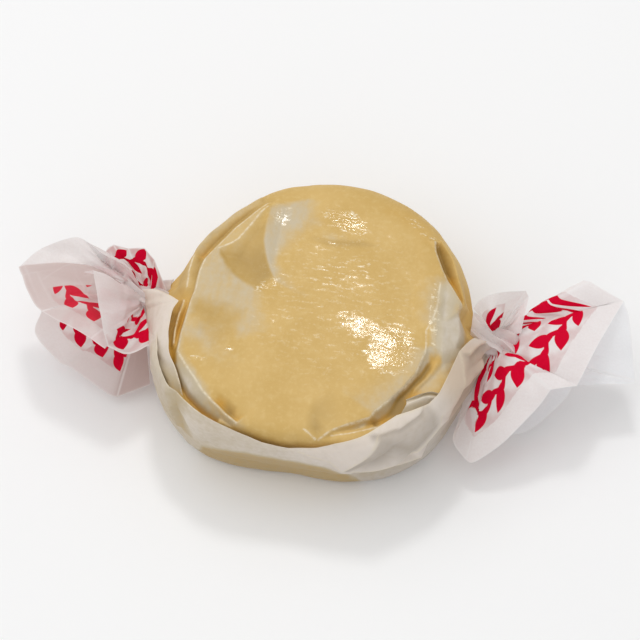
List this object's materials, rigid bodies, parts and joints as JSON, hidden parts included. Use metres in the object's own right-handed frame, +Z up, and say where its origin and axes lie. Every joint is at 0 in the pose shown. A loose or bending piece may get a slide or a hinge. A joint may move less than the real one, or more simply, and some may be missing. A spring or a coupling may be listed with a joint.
{
  "type": "wrapped maple taffy",
  "caption": "Soft round maple taffy rolled in a sheet of see-through waxed paper, with both ends twisted shut and fanned out.",
  "frame": {"origin": "on the flat face that the sweet rests on, under the middle of the sweet", "axes": "+X along the line from the left twist to the right twist, +Y to the back, +Z up"},
  "size_m": [0.0603, 0.0303, 0.0135],
  "materials": {
    "taffy": "smooth, soft and slightly waxy",
    "wrapper": "thin waxed paper, glossy and see-through where it clings"
  },
  "bodies": {
    "root": {"taffy": "taffy", "wrapper": "wrapper"}
  },
  "joints": []
}
